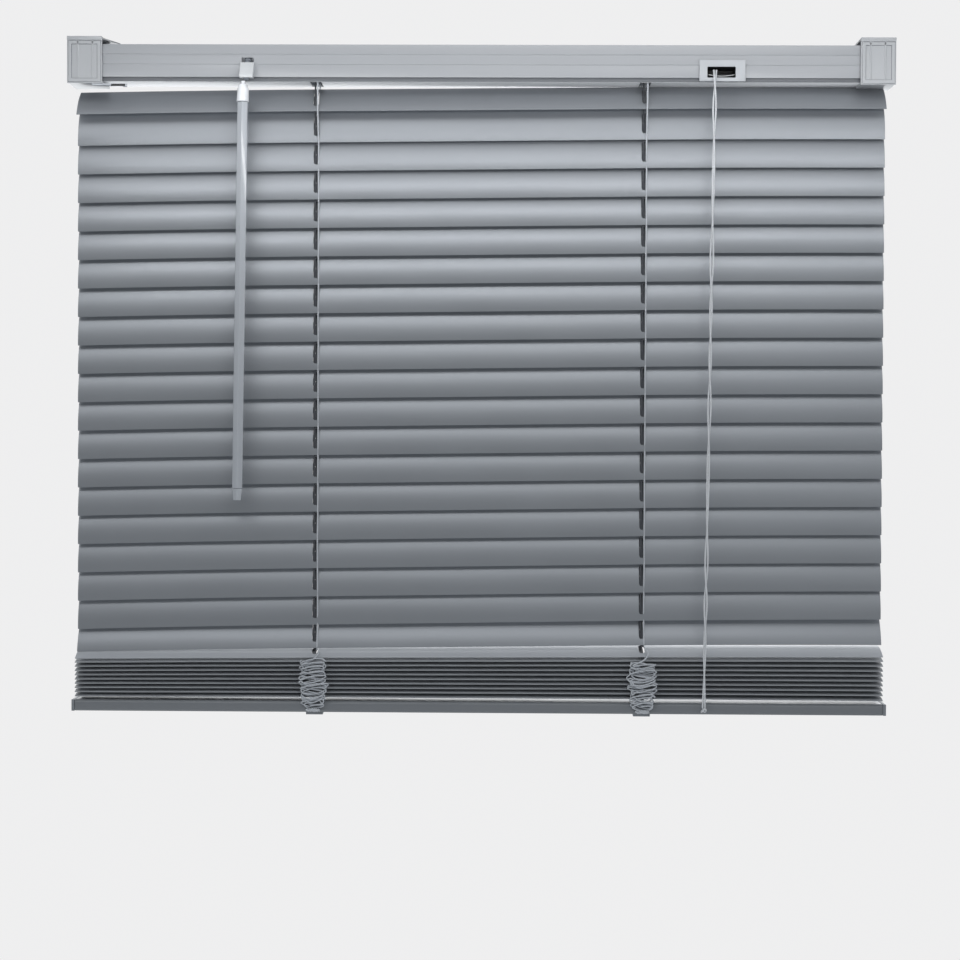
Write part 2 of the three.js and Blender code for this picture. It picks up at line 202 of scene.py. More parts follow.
# The braid of any cord: small slanted stitches, darker between them.
braid, braid_in, braid_out = new_group(
    "cord_braid",
    {"Thread": ("Color", (0.5, 0.53, 0.56, 1)), "Gap": ("Color", (0.2, 0.22, 0.24, 1)),
     "Stitch": ("Float", 900.0)},
    {"Colour": "Color", "Height": "Float"})
place = node(braid, "ShaderNodeTexCoord")
stitches = [node(braid, "ShaderNodeTexWave", wave_type="BANDS", bands_direction="DIAGONAL") for _ in range(2)]
flip = node(braid, "ShaderNodeMapping", vector_type="POINT")
flip.inputs["Rotation"].default_value = (0.6, 1.9, 0.4)
braid.links.new(place.outputs["Object"], flip.inputs["Vector"])
braid.links.new(place.outputs["Object"], stitches[0].inputs["Vector"])
braid.links.new(flip.outputs["Vector"], stitches[1].inputs["Vector"])
for wave in stitches:
    wave.inputs["Distortion"].default_value = 1.2
    braid.links.new(braid_in.outputs["Stitch"], wave.inputs["Scale"])
crossing = node(braid, "ShaderNodeMath", operation="MAXIMUM")
braid.links.new(stitches[0].outputs["Fac"], crossing.inputs[0])
braid.links.new(stitches[1].outputs["Fac"], crossing.inputs[1])
braid.links.new(crossing.outputs[0], braid_out.inputs["Height"])
braid_tone = mixed_colour(braid, crossing.outputs[0], (0, 0, 0, 1), (1, 1, 1, 1))
braid.links.new(braid_in.outputs["Gap"], braid_tone.node.inputs[6])
braid.links.new(braid_in.outputs["Thread"], braid_tone.node.inputs[7])
braid.links.new(braid_tone, braid_out.inputs["Colour"])


def cord_material(name, thread, gap, stitch):
    """A braided material: the colour of its thread, of the gaps between, and its stitches per metre."""
    material, tree, shader = new_material(name, thread[:3], 0.82)
    stitched = place_group(tree, braid, Thread=thread, Gap=gap, Stitch=stitch)
    bump = node(tree, "ShaderNodeBump")
    bump.inputs["Strength"].default_value = 0.5
    bump.inputs["Distance"].default_value = 0.0002
    tree.links.new(stitched.outputs["Colour"], shader.inputs["Base Color"])
    tree.links.new(stitched.outputs["Height"], bump.inputs["Height"])
    tree.links.new(bump.outputs["Normal"], shader.inputs["Normal"])
    shader.inputs["Sheen Weight"].default_value = 0.25
    return material


pull_braid = cord_material("pull_cord_braid", (0.70, 0.72, 0.75, 1), (0.38, 0.40, 0.43, 1), 700.0)
pull_middle = smooth_route(PULL_ROUTE, 0.0015)
cord_mesh = bmesh.new()
travelled = 0.0
strand_routes = [[], []]
for index, point in enumerate(pull_middle):
    travelled += (point - pull_middle[max(index - 1, 0)]).length
    gap = STRAND_RADIUS * (1.35 + 0.40 * math.sin(travelled * 52 + 0.6))
    angle = 2 * math.pi * travelled / TWIST_LENGTH + 0.9 * math.sin(travelled * 31)
    offset = gap * Vector((math.cos(angle), 0.7 * math.sin(angle), 0))
    strand_routes[0].append(point + offset)
    strand_routes[1].append(point - offset)
for route in strand_routes:
    lay_cord(cord_mesh, route, STRAND_RADIUS)
# the knot: one tight turn of both strands round themselves
knot_foot = Vector(PULL_ROUTE[-1])
knot = [
    knot_foot + Vector((KNOT_RADIUS * math.cos(turn), KNOT_RADIUS * math.sin(turn),
                        -0.0006 + 0.0011 * math.sin(1.5 * turn)))
    for turn in [index * math.pi / 9 for index in range(25)]
]
lay_cord(cord_mesh, knot, KNOT_STRAND)
pull_cord = finish_piece("pull_cord_strands", cord_mesh, pull_braid)
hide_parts("pull_cord")
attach(pull_cord, "headrail")
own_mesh(pull_cord)


# ---- Slats ----------------------------------------------------------------------------------------
# Thirty strips of satin vinyl, 25 mm wide, rolled to a shallow crown, with a long slot over each
# ladder for the cords. Twenty hang on the ladders and ten lie gathered on the bottom rail.
SLAT_LENGTH, SLAT_WIDTH, CROWN, VINYL = 0.600, 0.025, 0.0020, 0.0006
SLOT_WIDTH, SLOT_LENGTH = 0.0042, 0.0160
LADDER_X = 0.122
AXIS_Y = -0.0125
CLOSED = math.radians(76)
FIRST_TILT, LAST_TILT, STACK_TOP_TILT = math.radians(49), math.radians(60), math.radians(14)
FIRST_RAISED, END_DROOP, SLAT_EDGE = 0.0009, 0.0012, 0.00014
HANGING = [f"slat_{number:02d}" for number in range(1, 21)]
GATHERED = [f"stack_slat_{number:02d}" for number in range(1, 11)]
tilt_pivots = {joint["child"]: Vector(joint["pos_m"]) for joint in frame["joints"]
               if joint["name"].endswith("_tilt")}

# The same tone on every moulded or painted surface: slow clouds of wear and a fine speckle.
skin, skin_in, skin_out = new_group(
    "moulded_skin",
    {"Tone": ("Color", (0.4, 0.42, 0.45, 1)), "Cloud": ("Float", 0.05), "Speckle": ("Float", 0.04),
     "Grain": ("Float", 2600.0), "Rough": ("Float", 0.4), "Rough Spread": ("Float", 0.08)},
    {"Colour": "Color", "Roughness": "Float", "Height": "Float"})
place = node(skin, "ShaderNodeTexCoord")
clouds = node(skin, "ShaderNodeTexNoise")
clouds.inputs["Scale"].default_value = 14
clouds.inputs["Detail"].default_value = 4
grain = node(skin, "ShaderNodeTexNoise")
grain.inputs["Detail"].default_value = 2
skin.links.new(place.outputs["Object"], clouds.inputs["Vector"])
skin.links.new(place.outputs["Object"], grain.inputs["Vector"])
skin.links.new(skin_in.outputs["Grain"], grain.inputs["Scale"])


def scaled(tree, value, weight):
    """A noise value from -0.5 to 0.5 instead of 0 to 1, times its weight."""
    shifted = node(tree, "ShaderNodeMath", operation="ADD")
    tree.links.new(value, shifted.inputs[0])
    shifted.inputs[1].default_value = -0.5
    times = node(tree, "ShaderNodeMath", operation="MULTIPLY")
    tree.links.new(shifted.outputs[0], times.inputs[0])
    tree.links.new(weight, times.inputs[1])
    return times.outputs[0]


def summed(tree, first, second):
    """Two values added, each of them a socket or a number."""
    plus = node(tree, "ShaderNodeMath", operation="ADD")
    for socket, value in zip(plus.inputs, (first, second)):
        if isinstance(value, bpy.types.NodeSocket):
            tree.links.new(value, socket)
        else:
            socket.default_value = value
    return plus.outputs[0]


shade = summed(skin, scaled(skin, clouds.outputs["Fac"], skin_in.outputs["Cloud"]),
               scaled(skin, grain.outputs["Fac"], skin_in.outputs["Speckle"]))
brightness = node(skin, "ShaderNodeHueSaturation")
skin.links.new(summed(skin, shade, 1.0), brightness.inputs["Value"])
skin.links.new(skin_in.outputs["Tone"], brightness.inputs["Color"])
skin.links.new(brightness.outputs["Color"], skin_out.inputs["Colour"])
skin.links.new(summed(skin, skin_in.outputs["Rough"],
                      scaled(skin, clouds.outputs["Fac"], skin_in.outputs["Rough Spread"])),
               skin_out.inputs["Roughness"])
skin.links.new(grain.outputs["Fac"], skin_out.inputs["Height"])


def skin_material(name, tone, rough, bump=0.08, metallic=0.0, **values):
    """A material whose colour, roughness and fine relief come from the moulded skin."""
    material, tree, shader = new_material(name, tone, rough, metallic)
    look = place_group(tree, skin, Tone=(*tone, 1), Rough=rough, **values)
    relief = node(tree, "ShaderNodeBump")
    relief.inputs["Strength"].default_value = bump
    relief.inputs["Distance"].default_value = 0.0001
    tree.links.new(look.outputs["Colour"], shader.inputs["Base Color"])
    tree.links.new(look.outputs["Roughness"], shader.inputs["Roughness"])
    tree.links.new(look.outputs["Height"], relief.inputs["Height"])
    tree.links.new(relief.outputs["Normal"], shader.inputs["Normal"])
    return material


def vinyl_material(name, tone, rough, metallic):
    """The slats' satin vinyl, a little metallic in its sheen."""
    return skin_material(name, tone, rough, metallic=metallic, Cloud=0.10, Speckle=0.05, Grain=3200.0)


slat_vinyl = vinyl_material("slat_vinyl", (0.250, 0.266, 0.288), 0.42, 0.45)


def sag(x, slope, end_drop):
    """How far a slat stands above its level line: it hangs lower towards the left, and its ends droop."""
    past = max(0.0, abs(x) - LADDER_X) / (SLAT_LENGTH / 2 - LADDER_X)
    return slope * x - end_drop * past ** 1.7


def crown_at(across):
    """How far the rolled section lies under its crown, at a place across the slat."""
    return -CROWN * (2 * across / SLAT_WIDTH) ** 2


def slat_columns():
    """Places along the slat: even steps, and the lines that a slot's rounded outline needs."""
    half = SLOT_WIDTH / 2
    lines = [side * LADDER_X + share * half for side in (-1, 1)
             for share in (-1, -0.75, -0.35, 0, 0.35, 0.75, 1)]
    even = [SLAT_LENGTH * (index / 44 - 0.5) for index in range(45)]
    return sorted(lines + [x for x in even if all(abs(x - line) > 0.003 for line in lines)])


def slat_mesh(seed):
    """One slat, open and level, as a thin sheet with slots."""
    bm = bmesh.new()
    rows = [SLAT_WIDTH * (index / 16 - 0.5) for index in range(17)]
    slot_rows = [row for row, across in enumerate(rows) if abs(across) < SLOT_LENGTH / 2 - 0.0005]
    columns = slat_columns()
    grid = []
    for x in columns:
        from_slot = min((abs(x - side * LADDER_X), side) for side in (-1, 1))[0]
        in_slot = from_slot <= SLOT_WIDTH / 2 + 1e-6
        line = []
        for row, across in enumerate(rows):
            if in_slot and row in (slot_rows[0], slot_rows[-1]):
                round_end = math.sqrt(max(0.0, (SLOT_WIDTH / 2) ** 2 - from_slot ** 2))
                across = math.copysign(SLOT_LENGTH / 2 - SLOT_WIDTH / 2 + round_end, across)
            ripple = 0.00012 * noise.noise(Vector((x * 22, across * 60, seed * 3.1)))
            line.append(bm.verts.new((x, across, crown_at(across) + ripple)))
        grid.append(line)
    for start, end, near, far in zip(columns, columns[1:], grid, grid[1:]):
        middle = (start + end) / 2
        over_slot = min(abs(middle - side * LADDER_X) for side in (-1, 1)) < SLOT_WIDTH / 2
        for row in range(len(rows) - 1):
            if not (over_slot and slot_rows[0] <= row < slot_rows[-1]):
                bm.faces.new((near[row], far[row], far[row + 1], near[row + 1]))
    return bm


def apply_modifiers(piece):
    """The piece's mesh with its modifiers worked in."""
    shown = piece.evaluated_get(bpy.context.evaluated_depsgraph_get())
    mesh = bpy.data.meshes.new_from_object(shown)
    piece.modifiers.clear()
    old, piece.data = piece.data, mesh
    bpy.data.meshes.remove(old)


def soften(piece, width, segments=2, angle=30):
    """The piece's sharper edges rounded, and every modifier worked in."""
    soft = piece.modifiers.new("edges", "BEVEL")
    soft.width = width
    soft.segments = segments
    soft.limit_method = "ANGLE"
    soft.angle_limit = math.radians(angle)
    soft.harden_normals = True
    apply_modifiers(piece)


placed_slats = {}


def make_slat(node_name, pivot, tilt, slope, end_drop, seed):
    """One slat in its place: thickened, softly edged, tilted, and hanging a little out of level."""
    piece = finish_piece(node_name + "_sheet", slat_mesh(seed), slat_vinyl)
    thick = piece.modifiers.new("thickness", "SOLIDIFY")
    thick.thickness = VINYL
    thick.offset = 0
    soften(piece, SLAT_EDGE, angle=50)
    own_twist = math.radians(0.7) * (random.Random(seed).random() - 0.5)
    piece.data.transform(Matrix.Rotation(tilt + own_twist, 4, "X"))
    piece.data.transform(Matrix.Translation(pivot))
    for vertex in piece.data.vertices:
        vertex.co.z += sag(vertex.co.x, slope, end_drop)
    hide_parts(node_name)
    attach(piece, node_name)
    placed_slats[node_name] = (pivot, tilt, slope, end_drop)
    return piece


def slope_of(number):
    """Lower slats slope a little more than upper ones; the first and the last are held more level."""
    return {1: 0.0090, len(HANGING): 0.0140}.get(number, 0.0100 + 0.0004 * number)


def tilt_of(number):
    """The first and the last slat aren't turned as far as the rest."""
    return FIRST_TILT if number == 1 else LAST_TILT if number == len(HANGING) else CLOSED


for number, name in enumerate(HANGING, 1):
    raised = Vector((0, 0, FIRST_RAISED if number == 1 else 0))
    make_slat(name, tilt_pivots[name] + raised, tilt_of(number), slope_of(number), END_DROOP, number)
# The gathered slats take retoned copies of the slat vinyl. A copy without metallic sheen is painted shade, for the
# shade under the hanging slats. A paler copy on the top slat is painted light.
stack_shade_toned_vinyl = vinyl_material("stack_shade_toned_vinyl", (0.270, 0.285, 0.305), 0.5, 0.0)
stack_top_painted_light_vinyl = vinyl_material("stack_top_painted_light_vinyl", (0.40, 0.42, 0.45), 0.42, 0.2)
for number, name in enumerate(GATHERED, 1):
    low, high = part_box(name)
    tilt = STACK_TOP_TILT if number == 1 else 0.0
    edge_drop = SLAT_WIDTH / 2 * math.sin(tilt) + CROWN * math.cos(tilt) + VINYL / 2
    pivot = Vector((0, AXIS_Y, low.z + edge_drop))
    gathered = make_slat(name, pivot, tilt, 0.0085 * (1 - number / 10.5), 0.0004, 40 + number)
    gathered.data.materials[0] = stack_shade_toned_vinyl if number > 1 else stack_top_painted_light_vinyl


# ---- Ladders --------------------------------------------------------------------------------------
# Thin braided polyester. A cord runs down the front and back edges of the slats, and a rung joins the
# two under each slat. The cords pass the slats beside the lift cord, in line with the slots.
LADDER_OFFSET, LADDER_RADIUS, LIFT_OFFSET = 0.0016, 0.0006, -0.0009
LADDER_TOP, LADDER_FOOT = -0.0115, -0.4372
ladder_braid = cord_material("ladder_braid", (0.56, 0.59, 0.63, 1), (0.30, 0.32, 0.35, 1), 1100.0)
# The rungs and the lift cords are coloured near-black as painted shade: they lie under the slats and in their
# slots, where shade falls.
painted_shade_braid = cord_material("painted_shade_braid", (0.05, 0.055, 0.065, 1), (0.05, 0.055, 0.065, 1), 1100.0)
# the strands of a rung: place beside the lift cord, how far the eye opens, and radius
RUNG_STRANDS = ((-0.00060, -0.00062, 0.0006), (0.00060, 0.00062, 0.0006), (0.0016, 0.0, 0.0005))
RUNG_UNDER, EYE_WIDTH, EDGE_GAP = 0.00095, 0.0016, 0.0011


def on_slat(slat, across, above, x):
    """A point of a slat's own section, across it and above its surface, in the shared frame."""
    pivot, tilt, slope, end_drop = placed_slats[slat]
    above += crown_at(across)
    y = pivot.y + across * math.cos(tilt) - above * math.sin(tilt)
    return Vector((x, y, pivot.z + across * math.sin(tilt) + above * math.cos(tilt) + sag(x, slope, end_drop)))


def ladder_route(x, edge):
    """A ladder's front (edge -1) or back (edge 1) cord, from the headrail to the last slat."""
    wander = random.Random(round(x * 1000) + edge)
    across = edge * (SLAT_WIDTH / 2 + EDGE_GAP)
    start = AXIS_Y + edge * 0.0088
    route = [(x, start, LADDER_TOP)]
    for slat in HANGING:
        drift = Vector((0.0003 * (wander.random() - 0.5) if edge < 0 else 0.0, 0, 0))
        route.append(on_slat(slat, across, 0.0, x) + drift)
    return route


def rung_mesh(bm, slat, middle):
    """The rung under one slat: two strands that open round the lift cord, and one beside them."""
    reach = SLAT_WIDTH / 2 + 0.0010
    end = middle + LADDER_OFFSET
    for base, eye, radius in RUNG_STRANDS:
        route = []
        for index in range(25):
            across = reach * (index / 12 - 1)
            spread = min(1.0, 6 * (1 - abs(across) / reach))
            x = middle + LIFT_OFFSET + base + eye * math.exp(-((across / EYE_WIDTH) ** 2))
            route.append(on_slat(slat, across, -RUNG_UNDER, end + (x - end) * spread))
        lay_cord(bm, route, radius, 6)


for side, name in ((-1, "left"), (1, "right")):
    x = side * LADDER_X + LADDER_OFFSET
    cords = bmesh.new()
    for edge in (-1, 1):
        lay_cord(cords, smooth_route(ladder_route(x, edge), 0.0025), LADDER_RADIUS)
    ladder = finish_piece(f"ladder_cords_{name}", cords, ladder_braid)
    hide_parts(f"ladder_{name}")
    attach(ladder, "headrail")
for slat in HANGING + GATHERED:
    rungs = bmesh.new()
    for side in (-1, 1):
        rung_mesh(rungs, slat, side * LADDER_X)
    rung = finish_piece(f"ladder_rungs_{slat}", rungs, painted_shade_braid)
    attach(rung, slat)


# ---- Slack of the ladders -------------------------------------------------------------------------
# With ten slats gathered on the bottom rail, the spare ladder hangs in front of them as a tangle of
# small loops. On the real blind it draws out straight as the rail goes down; here it stays fixed where it hangs.
SLACK_TOP, SLACK_FOOT, SLACK_HALF, SLACK_Y = -0.4425, -0.4765, 0.0108, -0.0283
SLACK_RADIUS, TURNS, TURN_POINTS = 0.0005, 11, 8
KNOT_POINTS, KNOT_WINDING, KNOT_TOP = 40, 7.3, -0.4772


def slack_routes(x, seed):
    """The tangled cords of one ladder: rounded loops swept from side to side, each a little lower."""
    wander = random.Random(seed)
    routes = []
    for strand in range(2):
        points = []
        for turn in range(TURNS):
            half = SLACK_HALF * (0.74 + 0.30 * wander.random())
            middle = x + 0.0016 * (wander.random() - 0.5)
            rise = 0.0014 + 0.0016 * wander.random()
            way = -1 if wander.random() < 0.4 else 1
            depth = SLACK_Y + 0.0024 * (wander.random() - 0.5)
            for index in range(TURN_POINTS):
                part = (turn + index / TURN_POINTS) / TURNS
                swing = 2 * math.pi * index / TURN_POINTS + strand * 2.6
                curl = 0.0007 * math.sin(2 * swing + strand)
                z = SLACK_TOP + (SLACK_FOOT - SLACK_TOP) * part + way * rise * math.sin(swing) + curl
                taper = 1.0 - 0.25 * max(0.0, part - 0.75) / 0.25
                points.append((middle + half * taper * math.cos(swing),
                               depth - 0.0014 * math.sin(swing + 0.7), z))
        routes.append(points)
    return routes


for side, name in ((-1, "left"), (1, "right")):
    x = side * LADDER_X
    tangle = bmesh.new()
    for route in slack_routes(x, 11 if side < 0 else 12):
        lay_cord(tangle, smooth_route(route, 0.0011), SLACK_RADIUS, 6)
    # the front cord's way down to the loops, over the last slat and the gathered ones
    start = on_slat(HANGING[-1], -SLAT_WIDTH / 2 - EDGE_GAP, 0.0, x + LADDER_OFFSET)
    joining = [
        start, (x + 0.0034, -0.0262, -0.4335), (x + 0.0040, -0.0272, -0.4362), (x + 0.0010, -0.0280, -0.4400),
        (x - 0.0040, -0.0282, -0.4425), (x - 0.0075, -0.0284, -0.4440),
    ]
    lay_cord(tangle, smooth_route(joining, 0.0015), LADDER_RADIUS)
    foot_knot = []
    for index in range(KNOT_POINTS):
        turn = 2 * math.pi * index / KNOT_WINDING
        foot_knot.append((x + 0.0055 * math.cos(turn) * (0.7 + 0.3 * math.sin(index)),
                          SLACK_Y - 0.0006 * math.sin(turn), KNOT_TOP - 0.0022 * abs(math.sin(index * 1.7))))
    lay_cord(tangle, smooth_route(foot_knot, 0.0013), SLACK_RADIUS, 6)
    slack = finish_piece(f"ladder_slack_{name}", tangle, ladder_braid)
    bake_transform(slack)


# ---- Lift cords -----------------------------------------------------------------------------------
# One braided cord inside each ladder, from the headrail through every slat's slot to a knot in the
# bottom rail.
LIFT_RADIUS = 0.0006
LIFT_TOP, LIFT_FOOT, LIFT_STEPS = -0.0118, -0.4719, 240
for side, name in ((-1, "left"), (1, "right")):
    x = side * LADDER_X + LIFT_OFFSET
    route = [Vector((x, AXIS_Y, LIFT_TOP + (LIFT_FOOT - LIFT_TOP) * index / LIFT_STEPS))
             for index in range(LIFT_STEPS + 1)]
    lift_cord = bmesh.new()
    lay_cord(lift_cord, route, LIFT_RADIUS)
    # the lift cord takes the near-black braid of painted shade, for the shade it lies in within the slots
    lift_cord = finish_piece(f"lift_cord_braid_{name}", lift_cord, painted_shade_braid)
    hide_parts(f"lift_cord_{name}")
    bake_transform(lift_cord)


# ---- Headrail -------------------------------------------------------------------------------------
# A U channel rolled from pre-painted steel sheet, open at the top, with two shallow lines along its
# front and its lower front corner folded in.


def refined(node_name, material, edge=0.0003, angle=28, segments=2):
    """A CAD node's shape with its faces joined and its edges softly rounded."""
    bm = bmesh.new()
    bm.from_mesh(frame["nodes"][node_name].data)
    bmesh.ops.remove_doubles(bm, verts=bm.verts, dist=1e-6)
    bmesh.ops.dissolve_limit(bm, angle_limit=math.radians(1.0), verts=bm.verts, edges=bm.edges)
    piece = finish_piece(node_name + "_look", bm, material)
    soften(piece, edge, segments, angle)
    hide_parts(node_name)
    return piece


def sheet_paint(name, tone, rough, cloud, speckle, grain=4200.0):
    """Paint baked on rolled or pressed steel sheet, smoother than moulded plastic."""
    return skin_material(name, tone, rough, bump=0.03, Cloud=cloud, Speckle=speckle, Grain=grain)


rail_paint = sheet_paint("rail_paint", (0.37, 0.384, 0.407), 0.30, 0.05, 0.03)
headrail = refined("headrail_channel", rail_paint, edge=0.00035)
# painted shade and light: the folded-in lower corner is painted darker than the front, for the shade in its
# recess, and the underside paler, standing in for light on it
headrail.data.materials.append(sheet_paint("rail_fold_painted_shade", (0.13, 0.14, 0.155), 0.42, 0.08, 0.04))
headrail.data.materials.append(sheet_paint("rail_underside_painted_light", (0.84, 0.85, 0.87), 0.35, 0.04, 0.03))
FOLD_DEPTH, FOLD_HEIGHT = 0.0035, 0.0045
rail_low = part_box("headrail_channel")[0]
# these masks pick the faces that carry the painted shade and the painted light
for polygon in headrail.data.polygons:
    if polygon.normal.z < -0.7 and polygon.center.z < rail_low.z + 0.0002:
        polygon.material_index = 2
    front_face = polygon.center.y < rail_low.y + FOLD_DEPTH
    folded = rail_low.z + 0.0001 < polygon.center.z < rail_low.z + FOLD_HEIGHT
    if front_face and folded and abs(polygon.normal.x) < 0.5:
        polygon.material_index = 1
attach(headrail, "headrail")


# ---- Brackets and doors ---------------------------------------------------------------------------
# Box brackets pressed from painted steel hold the headrail's ends. Each has a swing-up door across
# its front, stiffened by an embossed frame. The holes for their screws are left out.
bracket_paint = sheet_paint("bracket_paint", (0.43, 0.445, 0.465), 0.34, 0.06, 0.04, 3800.0)
# Painted shade: a darker copy of the bracket paint on the embossed frame's sloped sides, for the shade in its
# creases.
crease_painted_shade = sheet_paint("crease_painted_shade", (0.20, 0.21, 0.23), 0.45, 0.06, 0.04, 3800.0)
FRAME_OUTER, FRAME_INNER, FRAME_EDGE = 0.0006, 0.0038, 0.0003
FRAME_CREST, FRAME_ROOT, FRAME_SLOPE, DOOR_HINGE = 0.0003, 0.0011, 0.0004, 0.0024
# the embossed frame's section, from its outer foot to its inner: inset from the door's edge, and depth
FRAME_SECTION = ((FRAME_OUTER, FRAME_ROOT), (FRAME_OUTER + FRAME_SLOPE, FRAME_CREST),
                 (FRAME_INNER - FRAME_SLOPE, FRAME_CREST), (FRAME_INNER, FRAME_ROOT))
for name in ("left", "right"):
    bracket = refined(f"bracket_{name}", bracket_paint, edge=0.0004)
    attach(bracket, "headrail")
    door = refined(f"bracket_door_{name}", bracket_paint, edge=0.0006)
    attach(door, f"door_{name}")
    low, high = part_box(f"bracket_door_{name}")
    frame_mesh = bmesh.new()
    rings = []
    for inset, depth in FRAME_SECTION:
        corners = ((low.x + inset, low.z + inset), (high.x - inset, low.z + inset),
                   (high.x - inset, high.z - DOOR_HINGE - inset), (low.x + inset, high.z - DOOR_HINGE - inset))
        rings.append([frame_mesh.verts.new((x, low.y + depth, z)) for x, z in corners])
    for step, (first, second) in enumerate(zip(rings, rings[1:] + rings[:1])):
        join_rings(frame_mesh, first, second)
        # the crest keeps the bracket paint; the sloped sides take the painted shade
        for face in list(frame_mesh.faces)[-4:]:
            face.material_index = 0 if step == 1 else 1
    border = finish_piece(f"door_frame_{name}", frame_mesh, bracket_paint, smooth=False)
    border.data.materials.append(crease_painted_shade)
    soften(border, FRAME_EDGE, 3)
    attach(border, f"door_{name}")

# The tongue that locks the left door, in white nylon. Near its end a near-black inlay paints the shade of a slot.
white_nylon = skin_material("white_nylon", (0.52, 0.55, 0.59), 0.42, Cloud=0.05, Speckle=0.03, Grain=2600.0)
latch = refined("bracket_latch_left", white_nylon)
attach(latch, "latch_left")
SLOT_START, SLOT_END, SLOT_PROUD, SLOT_SUNK = 0.0115, 0.0010, 0.00012, 0.0004
low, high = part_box("bracket_latch_left")
slot_mesh = bmesh.new()
middle_z = (low.z + high.z) / 2
half_slot = min(0.0012, (high.z - low.z) / 2 - 0.0003)
corners = ((high.x - SLOT_START, middle_z - half_slot), (high.x - SLOT_END, middle_z - half_slot),
           (high.x - SLOT_END, middle_z + half_slot), (high.x - SLOT_START, middle_z + half_slot))
front = [slot_mesh.verts.new((x, low.y - SLOT_PROUD, z)) for x, z in corners]
back = [slot_mesh.verts.new((x, low.y + SLOT_SUNK, z)) for x, z in corners]
slot_mesh.faces.new(front)
join_rings(slot_mesh, front, back)
latch_shade = skin_material("latch_shade", (0.015, 0.016, 0.018), 0.6, Cloud=0.08, Speckle=0.05)
latch_slot_painted_shade = finish_piece("latch_slot_painted_shade", slot_mesh, latch_shade, smooth=False)
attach(latch_slot_painted_shade, "latch_left")
# A gusset opens the left bracket's top plate out towards the wall.
GUSSET_REACH, GUSSET_LAP = 0.0085, 0.0010
low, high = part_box("bracket_left")
gusset_mesh = bmesh.new()
outline = ((high.x - GUSSET_LAP, low.y + 0.0040), (high.x, low.y + 0.0040),
           (high.x + GUSSET_REACH, high.y - 0.0030), (high.x + GUSSET_REACH, high.y - 0.0012),
           (high.x - GUSSET_LAP, high.y - 0.0012))
upper = [gusset_mesh.verts.new((x, y, high.z - 0.0001)) for x, y in outline]
lower = [gusset_mesh.verts.new((x, y, high.z - 0.0011)) for x, y in outline]
gusset_mesh.faces.new(upper)
gusset_mesh.faces.new(lower)
join_rings(gusset_mesh, upper, lower)
gusset = finish_piece("bracket_gusset_left", gusset_mesh, bracket_paint, smooth=False)
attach(gusset, "headrail")


# ---- Cord lock ------------------------------------------------------------------------------------
# A moulded cup snapped into the headrail's front, with a framed window. The pull cord leaves it over
# a small locking roller.
lock_nylon = skin_material("lock_nylon", (0.47, 0.49, 0.52), 0.4, Cloud=0.05, Speckle=0.03)
lock = refined("cord_lock_body", lock_nylon, edge=0.00035)
# Painted shade: the faces behind the lock's front, inside its window, and the roller in there are coloured
# near-black for the shade within.
lock_shade_nylon = skin_material("lock_shade_nylon", (0.012, 0.013, 0.015), 0.55, Cloud=0.08, Speckle=0.05)
lock.data.materials.append(lock_shade_nylon)
BEZEL_DEPTH = 0.0007
lock_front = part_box("cord_lock_body")[0].y
for polygon in lock.data.polygons:
    if polygon.center.y > lock_front + BEZEL_DEPTH:
        polygon.material_index = 1
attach(lock, "headrail")
roller = refined("cord_lock_roller", lock_shade_nylon)
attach(roller, "lock_roller")
# a thin steel wire keeps the cords off the roller
WIRE_RADIUS, WIRE_Y, WIRE_TOP, WIRE_BOW = 0.00032, -0.0262, -0.0083, 0.0011
bright_steel = skin_material("bright_steel", (0.50, 0.51, 0.52), 0.3, metallic=1.0, Cloud=0.08, Speckle=0.05,
                             Grain=5200.0)
wire_mesh = bmesh.new()
low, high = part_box("cord_lock_roller")
wire_route = [(low.x + (high.x - low.x) * index / 12, WIRE_Y, WIRE_TOP - WIRE_BOW * math.sin(math.pi * index / 12))
              for index in range(13)]
lay_cord(wire_mesh, smooth_route(wire_route, 0.0008), WIRE_RADIUS)
wire = finish_piece("lock_wire", wire_mesh, bright_steel)
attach(wire, "headrail")


# ---- Tilter ---------------------------------------------------------------------------------------
# Inside the headrail a zinc-plated rod carries a ladder drum over each ladder and a nylon gear, which
# a worm turns. The worm comes out through a sleeve clipped to the headrail's front.
plated = skin_material("zinc_plate", (0.56, 0.57, 0.58), 0.3, metallic=1.0, Cloud=0.1, Speckle=0.06, Grain=5200.0)
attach(refined("tilt_rod", plated, edge=0.0002, angle=60), "tilt_shaft")
drum_nylon = skin_material("drum_nylon", (0.70, 0.72, 0.74), 0.45, Cloud=0.05, Speckle=0.03)
cradle_nylon = skin_material("cradle_nylon", (0.22, 0.24, 0.27), 0.5, Cloud=0.06, Speckle=0.04)
for name in ("left", "right"):
    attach(refined(f"ladder_drum_{name}", drum_nylon), "tilt_shaft")
    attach(refined(f"drum_cradle_{name}", cradle_nylon), "headrail")
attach(refined("tilter_gear", drum_nylon, edge=0.00015), "tilt_shaft")
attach(refined("tilter_housing", drum_nylon), "headrail")
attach(refined("tilter_worm", cradle_nylon, edge=0.00015), "worm")
sleeve_nylon = skin_material("sleeve_nylon", (0.60, 0.62, 0.64), 0.42, Cloud=0.05, Speckle=0.03)
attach(refined("wand_sleeve", sleeve_nylon), "headrail")


# ---- Wand -----------------------------------------------------------------------------------------
# A six-sided rod of grey acrylic hangs from a moulded nylon connector. The connector hooks on to the
# worm and turns it, and a collar fills its neck below the hook.
connector_nylon = skin_material("connector_nylon", (0.78, 0.80, 0.83), 0.24, Cloud=0.04, Speckle=0.03)
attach(refined("wand_connector", connector_nylon, edge=0.0004), "wand_hanger")
